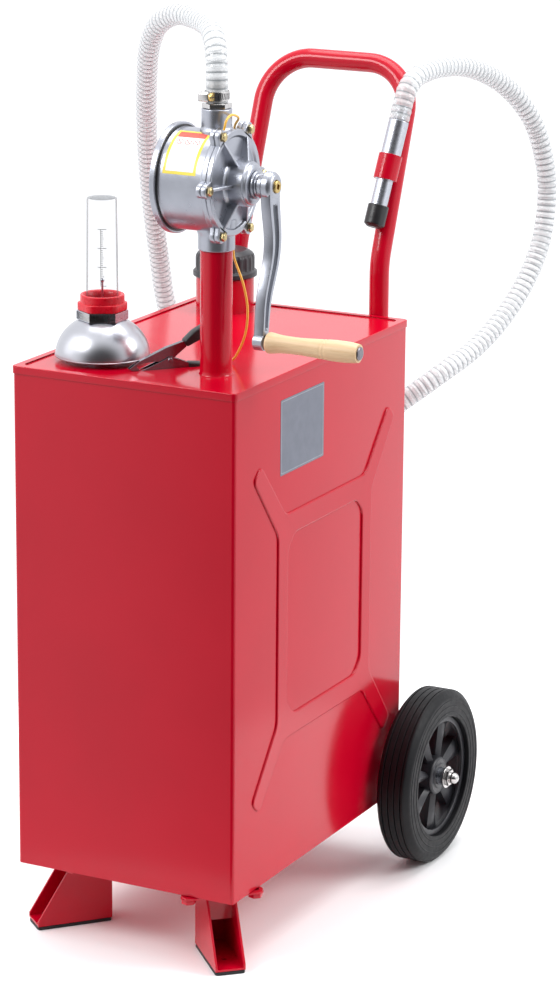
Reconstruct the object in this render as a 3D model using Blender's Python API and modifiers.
"""Upright fuel caddy: a welded sheet tank on two wheels and two feet, with a tow handle, a hand-cranked
vane pump on a standpipe, a clear ribbed hose with its nozzle, a float gauge, a filler cap and a
grounding clamp on its wire. Metres, +Z up. The floor is z = 0."""
import math

import bmesh
import bpy
from mathutils import Matrix, Vector

# Shared clearances and mesh counts
touch_gap = 0.0003          # between pieces that rest on each other
run_gap = 0.0005            # between pieces that turn or slide in each other
overrun = 0.010             # how far a cutter runs past what it cuts
weld_distance = 0.00001     # for closing caps and seams
round_steps = 20            # sides of a large round piece
small_steps = 12            # sides of a small round piece
bolt_sides = 6
round_profile_share = 0.5   # a bevel's profile that makes a round corner

# Tank: a folded sheet box whose top pan is hemmed over its upper edge
tank_width = 0.333          # X
tank_depth = 0.516          # Y
tank_height = 0.700         # Z, bottom hem to rim
ground_clearance = 0.102    # floor to bottom hem
sheet = 0.0015
tank_corner = 0.005
rim_width = 0.009
pan_depth = 0.009
lip_height = 0.0105
lip_sheet = 0.0012
hem_height = 0.0015
pan_corner = 0.010

# Pressed frame on each side of the tank, measured from its own centre
press_height = 0.0025       # how far it stands out
press_centre_y = 0.005
press_drop = 0.002          # its middle below the tank's middle
press_centre_z = tank_height / 2 - press_drop
press_waist_y = 0.1415      # half distance between the upright edges
press_neck_z = 0.1325       # half height of the upright edges
press_valley_y = 0.120
press_valley_z = 0.158
press_arm_in_y = 0.192      # the end of an arm, its inner corner
press_arm_in_z = 0.241
press_arm_out_y = 0.213     # and its outer corner
press_arm_out_z = 0.223
press_window_y = 0.113
press_window_z = 0.127
press_window_cut = 0.020    # chamfer of the window's corners

# Feet: folded scoops under the front corners
foot_width = 0.042
foot_base_length = 0.108
foot_top_length = 0.052
foot_top_setback = 0.056    # front of the top behind the front of the base
foot_nose = 0.007           # height of the front edge above the base
foot_sheet = 0.003
foot_pad_thickness = 0.005
foot_corner = 0.004
foot_web_height = 0.045
foot_web_back = 0.064       # from the front edge to the web
foot_ear_length = 0.030
foot_ear_corner = 0.012
foot_ear_reach = 0.0565     # from the foot's middle to an ear's end
foot_flange_front = 0.026   # from the front edge to the flange
foot_bolt_side = 0.0465     # from the foot's middle to a bolt
foot_bolt_back = 0.045      # from the front edge to the bolts
foot_hole_radius = 0.004
left_foot_inset_x = 0.0068   # middle of its front edge inside the tank's side, then its front
left_foot_inset_y = 0.0267
right_foot_inset_x = 0.0048
right_foot_inset_y = 0.0044
left_foot_degrees = 228.9
right_foot_degrees = 313.4

bolt_hole_radius = 0.0051

# Wheels and axle
wheel_radius = 0.127
wheel_width = 0.052
wheel_gap = 0.014            # between the tank's side and a tyre
axle_behind = 0.014          # its middle behind the tank's rear face
axle_radius = 0.008
tyre_bore_radius = 0.088
tyre_shoulder = 0.008
tread_half_width = 0.0205
groove_depth = 0.0022
groove_width = 0.0025
groove_pitch = 0.0095
rim_lip = 0.004
rim_wall = 0.004
rim_width_share = 0.72      # of the tyre's width
hub_radius = 0.028
hub_width = 0.040
spoke_count = 7
spoke_root_width = 0.011
spoke_tip_width = 0.024
spoke_thickness = 0.012
spoke_lean = 0.004
bush_radius = 0.0125
bush_overhang = 0.003
axle_washer_radius = 0.016
axle_washer_thickness = 0.002
axle_nut_radius = 0.0125
axle_nut_height = 0.009
axle_dome_radius = 0.0085
axle_collar_radius = 0.0120
axle_collar_width = 0.0040
axle_web_x = 0.075
axle_web_height = 0.062
axle_web_below = 0.014      # of the axle's middle

# Handle: one bent tube behind the tank, on saddles
handle_radius = 0.014
handle_inset = 0.053         # an upright's middle inside the tank's side
handle_foot_z = 0.075       # above the tank's bottom
handle_knee_rise = 0.072     # above the tank's rim
handle_knee_radius = 0.100
handle_lean = math.radians(20.9)
handle_rise = 0.285         # along the lean, from the knee to the middle of the grip bar
handle_bend_radius = 0.068
strap_overhang = 0.0285      # past an upright's middle
strap_sheet = 0.003
strap_height = 0.030
strap_drop = 0.140           # its middle below the tank's rim
bracket_top = 0.165         # of the rear bracket, above the tank's bottom

# Pump: shaft along X above the standpipe
pump_from_front = 0.0968    # the standpipe's middle behind the tank's front
pipe_from_right = 0.0798    # and inside its right side
pump_rise = 0.2538          # the shaft above the tank's rim
pump_behind_pipe = 0.0603   # the rear cover's outer face left of the standpipe's middle
rear_flange_radius = 0.0727
rear_cover_thickness = 0.0085
barrel_radius = 0.0665
flange_ring_radius = 0.0690
body_flange_thickness = 0.007
cover_flange_thickness = 0.007
cover_past_pipe = 0.0283     # outer face of the cover's flange right of the standpipe's middle
cover_bolt_circle = 0.0745
cover_ear_radius = 0.0095
cover_bolt_count = 6
cover_bolt_radius = 0.0062
cover_bolt_height = 0.0050
cover_shank_radius = 0.0028
cover_boss_radius = 0.0295
cover_boss_out = 0.0290      # of the boss past the flange's face
cover_dish_radius = 0.0600
cover_dish_depth = 0.0040
cover_step = 0.0030
rib_height = 0.0110
rib_thickness = 0.0045
rear_boss_radius = 0.020
rear_boss_length = 0.010
outlet_radius = 0.0200
outlet_rise = 0.0947         # above the shaft
inlet_radius = 0.0242
inlet_drop = 0.0898          # below the shaft
port_bore = 0.0125
chamber_radius = 0.0520
chamber_offset = 0.0060     # of the chamber's middle in front of the shaft's
rotor_gap = 0.0020
vane_count = 2
vane_thickness = 0.005
vane_depth = 0.018
shaft_radius = 0.0080
bush_wall = 0.0035
bush_length = 0.0150
gland_radius = 0.0128
gland_flange_radius = 0.0185
gland_out = 0.0125

# Crank
crank_gap = 0.0085           # between the cover's boss and the crank's
crank_boss_radius = 0.0190
crank_boss_length = 0.0205
crank_arm_in = 0.0055       # inner face of the arm behind the boss's inner end
crank_arm_thickness = 0.0145
crank_throw = 0.2010
crank_angle = math.radians(7.0)      # the arm's lower end leans to the front
crank_root_width = 0.0290
crank_tip_width = 0.0150
crank_bow = 0.0160          # how far the arm bows to the rear
crank_bow_share = 0.8       # of the throw, past which the arm is straight
crank_groove_ends_share = (0.11, 0.93)
crank_groove_share = 0.45   # of the arm's width
crank_groove_depth = 0.0035
crank_eye_radius = 0.0115
square_shaft_reach = 0.0035
grip_length = 0.1310
grip_gap = 0.0030
grip_pin_radius = 0.0042
grip_head_radius = 0.0088
grip_head_thickness = 0.0030
grip_radii = (0.0120, 0.0141, 0.0118, 0.0112, 0.0124, 0.0138, 0.0135, 0.0118)
grip_share = (0.0, 0.03, 0.16, 0.34, 0.55, 0.74, 0.90, 1.0)

# Standpipe and suction tube
standpipe_radius = 0.0212
standpipe_wall = 0.0022
standpipe_ring_radius = 0.0405
standpipe_ring_height = 0.0050
standpipe_bead = 0.0045
suction_radius = 0.0125
suction_wall = 0.0015
suction_floor_gap = 0.012   # suction tube's end above the tank floor
suction_slot_width = 0.004
suction_slot_height = 0.030
suction_slot_count = 4

# Filler
filler_from_left = 0.0725
filler_from_rear = 0.0565
filler_radius = 0.0413
filler_wall = 0.0030
filler_rise = 0.0560        # of the shoulder above the top pan
filler_thread_radius = 0.0385
filler_thread_length = 0.0310
filler_bead = 0.0040
cap_radius = 0.0420
cap_skirt_radius = 0.0456
cap_skirt_height = 0.0065
cap_top_thickness = 0.0050
cap_shoulder = 0.0070
cap_gasket_thickness = 0.0020

# Gauge
gauge_from_left = 0.0825
gauge_from_front = 0.0950
dome_radius = 0.0632
dome_lift = 0.0140          # lower edge above the top pan
dome_rise = 0.0550          # of the full ellipse
dome_wall = 0.0016
dome_bead = 0.0022
gauge_seat_lift = 0.0625    # the dome's flat top above the top pan
gauge_bung_radius = 0.0265
gauge_shank_radius = 0.0220
gauge_hex_radius = 0.0345
gauge_hex_height = 0.0122
gauge_nut_radius = 0.0338
gauge_nut_height = 0.0108
gauge_ring_radius = 0.0295
gauge_ring_height = 0.0108
gauge_tube_top = 0.2230     # above the top pan
gauge_tube_base_radius = 0.0207
gauge_tube_top_radius = 0.0190
gauge_tube_wall = 0.0014
gauge_stem_radius = 0.0075
gauge_rod_radius = 0.0014
gauge_ball_radius = 0.0028
gauge_rod_foot = 0.0911      # rod's lower end above the float's pivot
gauge_rod_top = 0.1150      # ball's middle above the top pan, tank empty
float_arm_length = 0.300
float_arm_radius = 0.0030
float_arm_drop = math.radians(65.0)
float_floor_gap = 0.0250    # float above the tank's floor when the tank is empty
float_radius = 0.0270
float_length = 0.0620
float_pin_radius = 0.0030
float_eye_radius = 0.0080
float_eye_width = 0.0060
float_pivot_drop = 0.0240   # below the stem's end
fork_sheet = 0.0025
fork_gap = 0.0005

# Nozzle in its holder on the right upright
nozzle_along = 0.1310       # middle of the holder along the leaning upright, from the knee
nozzle_side = 0.0025        # outside the upright's middle
nozzle_tilt = math.radians(4.0)
nozzle_body_radius = 0.0143
nozzle_body_length = 0.0495 # above the holder
nozzle_spout_radius = 0.0120
nozzle_spout_length = 0.0370
nozzle_wall = 0.0018
nozzle_barb_radius = 0.0095
nozzle_barb_length = 0.0220
holder_length = 0.0360
holder_radius = 0.0168
holder_stand = 0.0009       # between the sleeve and the upright
holder_web_width = 0.0100
tip_length = 0.0320
tip_radius = 0.0148
tip_overlap = 0.0240

# Hose adapter, clamp and hose
adapter_hex_radius = 0.0196
adapter_hex_height = 0.0070
adapter_barb_radius = 0.0098
adapter_barb_length = 0.0300
adapter_bore = 0.0078
barb_step = 0.0009
barb_count = 3
barb_shares = (0.7, 0.75)   # of a barb's pitch, where it is widest and where it has stepped in
hose_outer_radius = 0.0152
hose_root_radius = 0.0138
hose_bore_radius = 0.0110
hose_rib_count = 90
hose_bore_points = 90
hose_clamp_width = 0.0120
hose_clamp_thickness = 0.0008
hose_clamp_lift = 0.0030    # above the adapter's hex
clamp_screw_radius = 0.0052
clamp_screw_length = 0.0170
clamp_screw_head_radius = 0.0055
clamp_screw_head_length = 0.0050
clamp_house_length = 0.0150

# Grounding clamp, lying on the top pan. Its own line runs from the jaws' tip to the grips, and its
# outlines are (along, height above the pan) as shares of its length scale
pliers_from_pipe = 0.1030   # the jaws' tip left of the standpipe's middle
pliers_before_pipe = 0.0406 # and in front of it
pliers_turn = math.radians(50.0)
pliers_scale = 0.1000
pliers_width = 0.0110
pliers_sheet = 0.0015
pliers_pivot_share = (0.515, 0.185)
pliers_pin_radius = 0.0022
pliers_head_radius = 0.0036
pliers_head_thickness = 0.0010
pliers_grip_width = 0.0150
pliers_grip_bevel = 0.0020
pliers_tang_length = 0.0150
pliers_tang_height = 0.0050
pliers_upper_shares = ((-0.057, 0.105), (-0.030, 0.078), (0.078, 0.070), (0.085, 0.100), (0.045, 0.125),
                       (0.060, 0.155), (0.130, 0.168), (0.330, 0.178), (0.400, 0.150), (0.515, 0.120),
                       (0.580, 0.150), (0.594, 0.227), (0.752, 0.350), (0.712, 0.425), (0.467, 0.355),
                       (0.240, 0.260), (0.089, 0.201))
pliers_lower_shares = ((0.020, 0.040), (0.350, 0.045), (0.607, 0.052), (0.784, 0.040), (0.770, 0.137),
                       (0.600, 0.205), (0.560, 0.226), (0.500, 0.234), (0.450, 0.205), (0.328, 0.155),
                       (0.100, 0.068), (0.020, 0.060))
pliers_upper_slot_shares = ((0.000, 0.020), (0.800, 0.020), (0.800, 0.440), (0.720, 0.406), (0.467, 0.335),
                            (0.240, 0.240), (0.089, 0.180), (0.000, 0.118))
pliers_lower_slot_shares = ((-0.020, 0.056), (0.350, 0.060), (0.607, 0.068), (0.830, 0.056), (0.830, 0.300),
                            (-0.020, 0.300))
pliers_upper_grip_shares = ((0.751, 0.345), (0.941, 0.431), (1.180, 0.590), (1.220, 0.640), (1.190, 0.690),
                            (1.120, 0.680), (0.950, 0.605), (0.846, 0.551), (0.707, 0.428))
pliers_lower_grip_shares = ((0.787, 0.036), (0.941, 0.003), (1.170, 0.003), (1.210, 0.040), (1.200, 0.095),
                            (1.120, 0.120), (0.941, 0.123), (0.776, 0.141))
pliers_upper_tang_share = (0.7275, 0.3875)
pliers_upper_tang_turn = math.radians(30.7)
pliers_lower_tang_share = (0.775, 0.092)
pliers_lower_tang_turn = math.radians(-5.0)
spring_wire = 0.00045
spring_radius = 0.0032
spring_pitch = 0.00135
spring_turns = 1.5
spring_leg = 0.0040
wire_radius = 0.0016

# Routes, chosen by hand, measured from the middle of the tank's bottom
hose_route = [
    (0.0867, -0.1612, 1.0563), (0.0867, -0.1612, 1.0713), (0.0867, -0.1612, 1.0863), (0.0843, -0.158,
                                                                                      1.107),
    (0.077, -0.148, 1.126), (0.066, -0.134, 1.138), (0.045, -0.107, 1.145), (0.006, -0.072, 1.149),
    (-0.038, -0.043, 1.148), (-0.081, -0.016, 1.128), (-0.117, 0.023, 1.087), (-0.152, 0.078, 1.023),
    (-0.180, 0.128, 0.962), (-0.204, 0.176, 0.895), (-0.223, 0.222, 0.823), (-0.238, 0.266, 0.751),
    (-0.250, 0.307, 0.676), (-0.251, 0.347, 0.600), (-0.228, 0.374, 0.528), (-0.176, 0.386, 0.470),
    (-0.106, 0.386, 0.440), (-0.032, 0.380, 0.448), (0.032, 0.379, 0.487), (0.084, 0.391, 0.533),
    (0.131, 0.436, 0.575), (0.163, 0.521, 0.613), (0.185, 0.597, 0.667), (0.199, 0.648, 0.735),
    (0.202, 0.668, 0.806), (0.199, 0.660, 0.873), (0.188, 0.630, 0.938), (0.168, 0.574, 0.991),
    (0.149, 0.496, 1.024), (0.136, 0.422, 1.033), (0.1285, 0.370, 1.029), (0.1262, 0.3515, 1.0235),
    (0.1240, 0.3362, 1.012), (0.1227, 0.3270, 0.9965), (0.1217, 0.3216, 0.9825), (0.1207, 0.3167, 0.9695)]
wire_route = [
    (0.1170, -0.1984, 1.0272), (0.1185, -0.1950, 1.0390), (0.1170, -0.1800, 1.0440), (0.1140, -0.1600,
                                                                                      1.0405),
    (0.1085, -0.1430, 1.0340), (0.0985, -0.1330, 1.0240), (0.0940, -0.1245, 1.0150), (0.0940, -0.1020,
                                                                                      0.9910),
    (0.0940, -0.0905, 0.9560), (0.0930, -0.0985, 0.9200), (0.0860, -0.1060, 0.8930), (0.0775, -0.1045,
                                                                                      0.8720),
    (0.0790, -0.1000, 0.8500), (0.0805, -0.0990, 0.8390), (0.0945, -0.1000, 0.8063), (0.1008, -0.1000,
                                                                                      0.7733),
    (0.0971, -0.1000, 0.7391), (0.0820, -0.0975, 0.7080), (0.0700, -0.0990, 0.6985), (0.0617, -0.1089,
                                                                                      0.6977)]

# Colours, roughness and metal of each material
finishes = {
    "red_paint": ((0.50, 0.006, 0.010), 0.22, 0.0),
    "cast_alloy": ((0.42, 0.43, 0.46), 0.38, 0.9),
    "bright_steel": ((0.62, 0.62, 0.64), 0.18, 1.0),
    "zinc_yellow": ((0.66, 0.52, 0.28), 0.30, 1.0),
    "tyre_rubber": ((0.012, 0.012, 0.013), 0.75, 0.0),
    "black_plastic": ((0.020, 0.020, 0.022), 0.45, 0.0),
    "beech": ((0.78, 0.58, 0.36), 0.50, 0.0),
    "clear_plastic": ((0.86, 0.90, 0.90), 0.08, 0.0),
    "red_plastic": ((0.60, 0.010, 0.015), 0.35, 0.0),
    "gasket_paper": ((0.06, 0.05, 0.04), 0.80, 0.0),
    "wire_jacket": ((0.90, 0.45, 0.04), 0.45, 0.0),
    "bronze": ((0.55, 0.38, 0.18), 0.35, 1.0),
}

# Places worked out from the sizes above, measured from the middle of the tank's bottom
side_x = tank_width / 2
front_y = -tank_depth / 2
foot_places = {"left": (left_foot_inset_x - side_x, front_y + left_foot_inset_y, left_foot_degrees),
               "right": (side_x - right_foot_inset_x, front_y + right_foot_inset_y, right_foot_degrees)}
wheel_inner_x = side_x + wheel_gap
axle_y = -front_y + axle_behind
handle_half_width = side_x - handle_inset
handle_knee_z = tank_height + handle_knee_rise
strap_half_width = handle_half_width + strap_overhang
strap_z = tank_height - strap_drop
pump_y = front_y + pump_from_front
pipe_x = side_x - pipe_from_right
shaft_z = tank_height + pump_rise
rear_flange_x = pipe_x - pump_behind_pipe
cover_front_x = pipe_x + cover_past_pipe
cover_boss_x = cover_front_x + cover_boss_out
outlet_top_z = shaft_z + outlet_rise
inlet_bottom_z = shaft_z - inlet_drop
crank_inner_x = cover_boss_x + crank_gap
filler_x = filler_from_left - side_x
filler_y = -front_y - filler_from_rear
gauge_x = gauge_from_left - side_x
gauge_y = front_y + gauge_from_front
pliers_tip = (pipe_x - pliers_from_pipe, pump_y - pliers_before_pipe)
pan_z = tank_height - pan_depth
pan_under_z = pan_z - sheet
lip_z = tank_height - lip_height
rear_y = tank_depth / 2
floor_plate_z = hem_height + sheet     # the tank floor's upper face
float_pivot_z = (floor_plate_z + float_floor_gap + float_radius
                 + float_arm_length * math.sin(float_arm_drop))
gauge_rod_length = pan_z + gauge_rod_top - float_pivot_z - gauge_rod_foot
gauge_stem_length = pan_z - float_pivot_z - float_pivot_drop     # below the top pan
handle_y = rear_y + strap_sheet + 2 * touch_gap + handle_radius
axle_z = wheel_radius - ground_clearance
barrel_front_x = cover_front_x - cover_flange_thickness - touch_gap - body_flange_thickness
rotor_radius = chamber_radius * math.cos(math.pi / round_steps) - chamber_offset - run_gap
hose_start_z = outlet_top_z + touch_gap + adapter_hex_height + touch_gap
holder_offset = handle_radius + touch_gap + holder_radius + holder_stand
grip_inner_x = crank_inner_x + crank_arm_in + crank_arm_thickness + grip_gap
crank_outer_x = crank_inner_x + crank_boss_length

# The row's origin: the middle of the model's outline, without the hose, wire and what is on them
outline_left = wheel_inner_x + wheel_width + bush_overhang + axle_washer_thickness + 2 * touch_gap
outline_left = -(outline_left + axle_nut_height + axle_dome_radius)
outline_right = grip_inner_x + grip_length + touch_gap + grip_head_thickness
outline_rear = axle_y + wheel_radius


def clear_scene():
    for item in list(bpy.data.objects):
        bpy.data.objects.remove(item, do_unlink=True)


def make_material(name):
    colour, roughness, metal = finishes[name]
    material = bpy.data.materials.new(name)
    material.use_nodes = True
    shader = material.node_tree.nodes["Principled BSDF"]
    shader.inputs["Base Color"].default_value = (*colour, 1.0)
    shader.inputs["Roughness"].default_value = roughness
    shader.inputs["Metallic"].default_value = metal
    material.diffuse_color = (*colour, 1.0)
    return material


def make_collection(name):
    collection = bpy.data.collections.new(name)
    bpy.context.scene.collection.children.link(collection)
    return collection


clear_scene()
caddy_collection = make_collection("fuel_caddy")
cutter_collection = make_collection("cutters")
materials = {name: make_material(name) for name in finishes}

# Every piece hangs on this empty, which stands at the middle of the tank's bottom
tank_frame = bpy.data.objects.new("tank_frame", None)
caddy_collection.objects.link(tank_frame)


def add_object(name, data, finish, place=(0, 0, 0), turn=None, parent=None, smooth=True):
    """Link a mesh or curve as a named piece, or as a cutter where finish is None."""
    piece = bpy.data.objects.new(name, data)
    if finish is None:
        cutter_collection.objects.link(piece)
        piece.hide_render = True
        piece.display_type = "WIRE"
    else:
        caddy_collection.objects.link(piece)
        data.materials.append(materials[finish])
    piece.location = place
    if turn is not None:
        piece.rotation_euler = turn
    piece.parent = parent or tank_frame
    if isinstance(data, bpy.types.Mesh) and smooth:
        data.shade_smooth()
        data.set_sharp_from_angle(angle=math.radians(35))
    return piece


def add_empty(name, place, turn=None, parent=None):
    empty = bpy.data.objects.new(name, None)
    caddy_collection.objects.link(empty)
    empty.location = place
    if turn is not None:
        empty.rotation_euler = turn
    empty.parent = parent or tank_frame
    return empty


def mesh_from(work, name):
    mesh = bpy.data.meshes.new(name)
    bmesh.ops.recalc_face_normals(work, faces=work.faces)
    work.to_mesh(mesh)
    work.free()
    return mesh


def box(name, size, middle, finish, corner=0, corner_segments=2, parent=None, turn=None):
    """A block, with its upright edges rounded where corner is given."""
    work = bmesh.new()
    bmesh.ops.create_cube(work, size=1)
    bmesh.ops.scale(work, vec=size, verts=work.verts)
    if corner:
        upright = [edge for edge in work.edges
                   if abs(edge.verts[0].co.z - edge.verts[1].co.z) > size[2] / 2]
        bmesh.ops.bevel(work, geom=upright, offset=corner, segments=corner_segments,
                        profile=round_profile_share, affect="EDGES")
    return add_object(name, mesh_from(work, name), finish, middle, turn, parent)


def drum(name, radius, length, middle, finish, axis="Z", steps=small_steps, parent=None, end_radius=None):
    """A cylinder or cone along X, Y or Z."""
    work = bmesh.new()
    bmesh.ops.create_cone(work, cap_ends=True, segments=steps, radius1=radius,
                          radius2=radius if end_radius is None else end_radius, depth=length)
    bmesh.ops.rotate(work, cent=(0, 0, 0), matrix=axis_matrix(axis), verts=work.verts)
    return add_object(name, mesh_from(work, name), finish, middle, None, parent)


# A flat outline's own X, Y and normal turned to +Y, +Z and +X, or to +Y, +X and -Z
across_x = Matrix(((0, 0, 1), (1, 0, 0), (0, 1, 0)))
along_x = Matrix(((0, 1, 0), (1, 0, 0), (0, 0, -1)))


def axis_matrix(axis):
    if axis == "X":
        return Matrix.Rotation(math.radians(90), 3, "Y")
    if axis == "Y":
        return Matrix.Rotation(math.radians(-90), 3, "X")
    return Matrix.Identity(3)


def turned(name, profile, middle, finish, axis="Z", steps=round_steps, parent=None, closed=False):
    """Screw a profile of (radius, height) round its axis. It runs down the outer side, top to
    bottom; a closed one is a ring."""
    mesh = bpy.data.meshes.new(name)
    points = [(radius, 0, height) for radius, height in profile]
    edges = [(i, i + 1) for i in range(len(points) - 1)]
    if closed:
        edges.append((len(points) - 1, 0))
    mesh.from_pydata(points, edges, [])
    turn = {"Z": (0, 0, 0), "X": (0, math.radians(90), 0), "Y": (math.radians(-90), 0, 0)}[axis]
    piece = add_object(name, mesh, finish, middle, turn, parent, smooth=False)
    screw = piece.modifiers.new("screw", "SCREW")
    screw.axis = "Z"
    screw.steps = steps
    screw.render_steps = steps
    screw.use_merge_vertices = True
    screw.merge_threshold = weld_distance
    screw.use_smooth_shade = True
    return piece


def tube_mesh(name, paths, radius, finish, resolution=2, parent=None, radii=None):
    """Round tubes along lists of points, as one mesh with its caps welded."""
    curve = bpy.data.curves.new(name, "CURVE")
    curve.dimensions = "3D"
    curve.bevel_depth = radius
    curve.bevel_resolution = resolution
    curve.use_fill_caps = True
    for path in paths:
        spline = curve.splines.new("POLY")
        spline.points.add(len(path) - 1)
        for index, (point, place) in enumerate(zip(spline.points, path)):
            point.co = (*place, 1)
            point.radius = radii[index] if radii else 1
    return curve_to_mesh(name, curve, finish, parent)


def curve_to_mesh(name, curve, finish, parent=None, place=(0, 0, 0), turn=None, flat=False):
    """Turn a curve into a closed mesh in the place that the curve had. Flat faces become one again."""
    guide = add_object(name + "_guide", curve, None, place, turn, parent)
    bpy.context.view_layer.update()
    evaluated = guide.evaluated_get(bpy.context.evaluated_depsgraph_get())
    mesh = bpy.data.meshes.new_from_object(evaluated)
    work = bmesh.new()
    work.from_mesh(mesh)
    bmesh.ops.remove_doubles(work, verts=work.verts, dist=weld_distance)
    if flat:
        bmesh.ops.dissolve_limit(work, angle_limit=flat_angle, verts=work.verts, edges=work.edges)
    bmesh.ops.recalc_face_normals(work, faces=work.faces)
    work.to_mesh(mesh)
    work.free()
    mesh.materials.clear()
    placed = guide.matrix_world.copy()
    bpy.data.objects.remove(guide, do_unlink=True)
    piece = add_object(name, mesh, finish, (0, 0, 0), None, parent)
    bpy.context.view_layer.update()
    piece.matrix_world = placed
    return piece


def plate(name, outline, thickness, finish, place=(0, 0, 0), turn=None, parent=None, holes=()):
    """A flat outline, with any holes, extruded to a thickness about its own plane."""
    curve = bpy.data.curves.new(name, "CURVE")
    curve.dimensions = "2D"
    curve.fill_mode = "BOTH"
    curve.extrude = thickness / 2
    for loop in (outline, *holes):
        spline = curve.splines.new("POLY")
        spline.points.add(len(loop) - 1)
        for point, (x, y) in zip(spline.points, loop):
            point.co = (x, y, 0, 1)
        spline.use_cyclic_u = True
    return curve_to_mesh(name, curve, finish, parent, place, turn, flat=True)


flat_angle = math.radians(0.1)


def combine(piece, other, operation):
    """Add a live Boolean of one piece with another."""
    step = piece.modifiers.new(operation.lower(), "BOOLEAN")
    step.operation = operation
    step.solver = "EXACT"
    step.object = other
    return piece


def cut(piece, *cutters):
    for cutter in cutters:
        combine(piece, cutter, "DIFFERENCE")
    return piece


def join(piece, *others):
    for other in others:
        combine(piece, other, "UNION")
    return piece


def soften(piece, width, segments=2):
    """Round the sharp edges, before any Boolean."""
    bevel = piece.modifiers.new("bevel", "BEVEL")
    bevel.width = width
    bevel.segments = segments
    bevel.limit_method = "ANGLE"
    bevel.angle_limit = math.radians(40)
    return piece


def arc(middle, radius, start, end, steps):
    """Points on a circle from one angle to another, in radians."""
    return [(middle[0] + radius * math.cos(start + (end - start) * i / steps),
             middle[1] + radius * math.sin(start + (end - start) * i / steps)) for i in range(steps + 1)]


def ring_profile(inner, outer, low, high):
    return [(outer, high), (outer, low), (inner, low), (inner, high)]


def smooth_path(points, steps):
    """A Catmull-Rom curve through the points, at about even spacing."""
    places = [Vector(point) for point in points]
    places = [2 * places[0] - places[1], *places, 2 * places[-1] - places[-2]]
    dense = []
    for i in range(1, len(places) - 2):
        before, start, end, after = places[i - 1:i + 3]
        for k in range(fine_steps):
            t = k / fine_steps
            dense.append(((2 * start) + (end - before) * t
                          + (2 * before - 5 * start + 4 * end - after) * t ** 2
                          + (3 * start - before - 3 * end + after) * t ** 3) / 2)
    dense.append(places[-2])
    lengths = [0.0]
    for first, second in zip(dense, dense[1:]):
        lengths.append(lengths[-1] + (second - first).length)
    even = []
    index = 0
    for k in range(steps + 1):
        target = lengths[-1] * k / steps
        while index < len(dense) - 2 and lengths[index + 1] < target:
            index += 1
        share = (target - lengths[index]) / (lengths[index + 1] - lengths[index])
        even.append(dense[index].lerp(dense[index + 1], share))
    return even, lengths[-1]


fine_steps = 40             # points between two of a route's own points, before they are evened out


# Tank

def tank_block(name, inset, low, high, finish, corner):
    """A block of the tank's plan, drawn in by inset all round."""
    return box(name, (tank_width - 2 * inset, tank_depth - 2 * inset, high - low),
               (0, 0, (low + high) / 2), finish, corner)


def press_outline():
    """The crossed frame pressed into a side: one quarter, repeated to the other three."""
    quarter = [(press_valley_y, press_valley_z), (press_arm_in_y, press_arm_in_z),
               (press_arm_out_y, press_arm_out_z), (press_waist_y, press_neck_z)]
    below = [(y, -z) for y, z in reversed(quarter)]
    right = quarter + below
    return right + [(-y, z) for y, z in reversed(right)]


def press_window():
    corners = [(press_window_y, press_window_z - press_window_cut),
               (press_window_y - press_window_cut, press_window_z)]
    right = [(y, -z) for y, z in reversed(corners)] + corners
    return right + [(-y, z) for y, z in reversed(right)]


def make_tank_shell():
    top = tank_height - sheet - touch_gap
    shell = tank_block("tank_shell", 0, 0, top, "red_paint", tank_corner)
    inside = tank_block("tank_inside", sheet, floor_plate_z, tank_height + overrun, None,
                        tank_corner - sheet)
    for side, label in ((1, "right"), (-1, "left")):
        middle_x = side * (tank_width / 2 + press_height / 2 - touch_gap)
        turn = (math.radians(90), 0, math.radians(90))
        frame = plate("press_" + label, press_outline(), press_height + 2 * touch_gap, None,
                      (middle_x, press_centre_y, press_centre_z), turn, holes=(press_window(),))
        join(shell, frame)
    under = tank_block("tank_underside", sheet, -overrun, hem_height, None, tank_corner - sheet)
    cut(shell, inside, under)
    return shell


def make_tank_top():
    """The top pan: a raised rim all round, hemmed over the shell's upper edge, and the gauge's bung."""
    lip_out = -(touch_gap + lip_sheet)
    top = tank_block("tank_top", lip_out, lip_z, tank_height, "red_paint", tank_corner - lip_out)
    recess = tank_block("pan_recess", rim_width, pan_z, tank_height + overrun, None, pan_corner)
    under = tank_block("hem_outside", -touch_gap, lip_z - overrun, tank_height - sheet, None,
                       tank_corner + touch_gap)
    core = tank_block("hem_inside", rim_width - sheet, lip_z - 2 * overrun, tank_height, None,
                      pan_corner + sheet)
    cut(under, core)
    cut(top, recess, under)
    bung_low = pan_under_z - sheet
    bung_top = pan_z + gauge_seat_lift - dome_wall - touch_gap
    join(top, drum("gauge_bung", gauge_bung_radius, bung_top - bung_low,
                   (gauge_x, gauge_y, (bung_top + bung_low) / 2), None, steps=round_steps))
    cut(top, drum("gauge_way", gauge_shank_radius + touch_gap, 4 * gauge_seat_lift,
                  (gauge_x, gauge_y, pan_z), None, steps=round_steps))
    holes = (("filler", filler_x, filler_y, filler_radius), ("standpipe", pipe_x, pump_y, standpipe_radius))
    for label, x, y, radius in holes:
        cut(top, drum(label + "_hole", radius + touch_gap, pan_depth + overrun,
                      (x, y, pan_z), None, steps=round_steps))
    return top


def make_filler_neck():
    """A neck let through the top pan, with its weld bead, a shoulder and a narrower threaded end."""
    shoulder = pan_z + filler_rise
    top = shoulder + filler_thread_length
    low = pan_under_z - sheet
    inner = filler_thread_radius - filler_wall
    profile = [(inner, top), (filler_thread_radius, top), (filler_thread_radius, shoulder),
               (filler_radius, shoulder), (filler_radius, pan_z + filler_bead),
               (filler_radius + filler_bead, pan_z + touch_gap),
               (filler_radius, pan_z + touch_gap), (filler_radius, low), (inner, low)]
    return turned("filler_neck", profile, (filler_x, filler_y, 0), "red_paint", closed=True)


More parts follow.
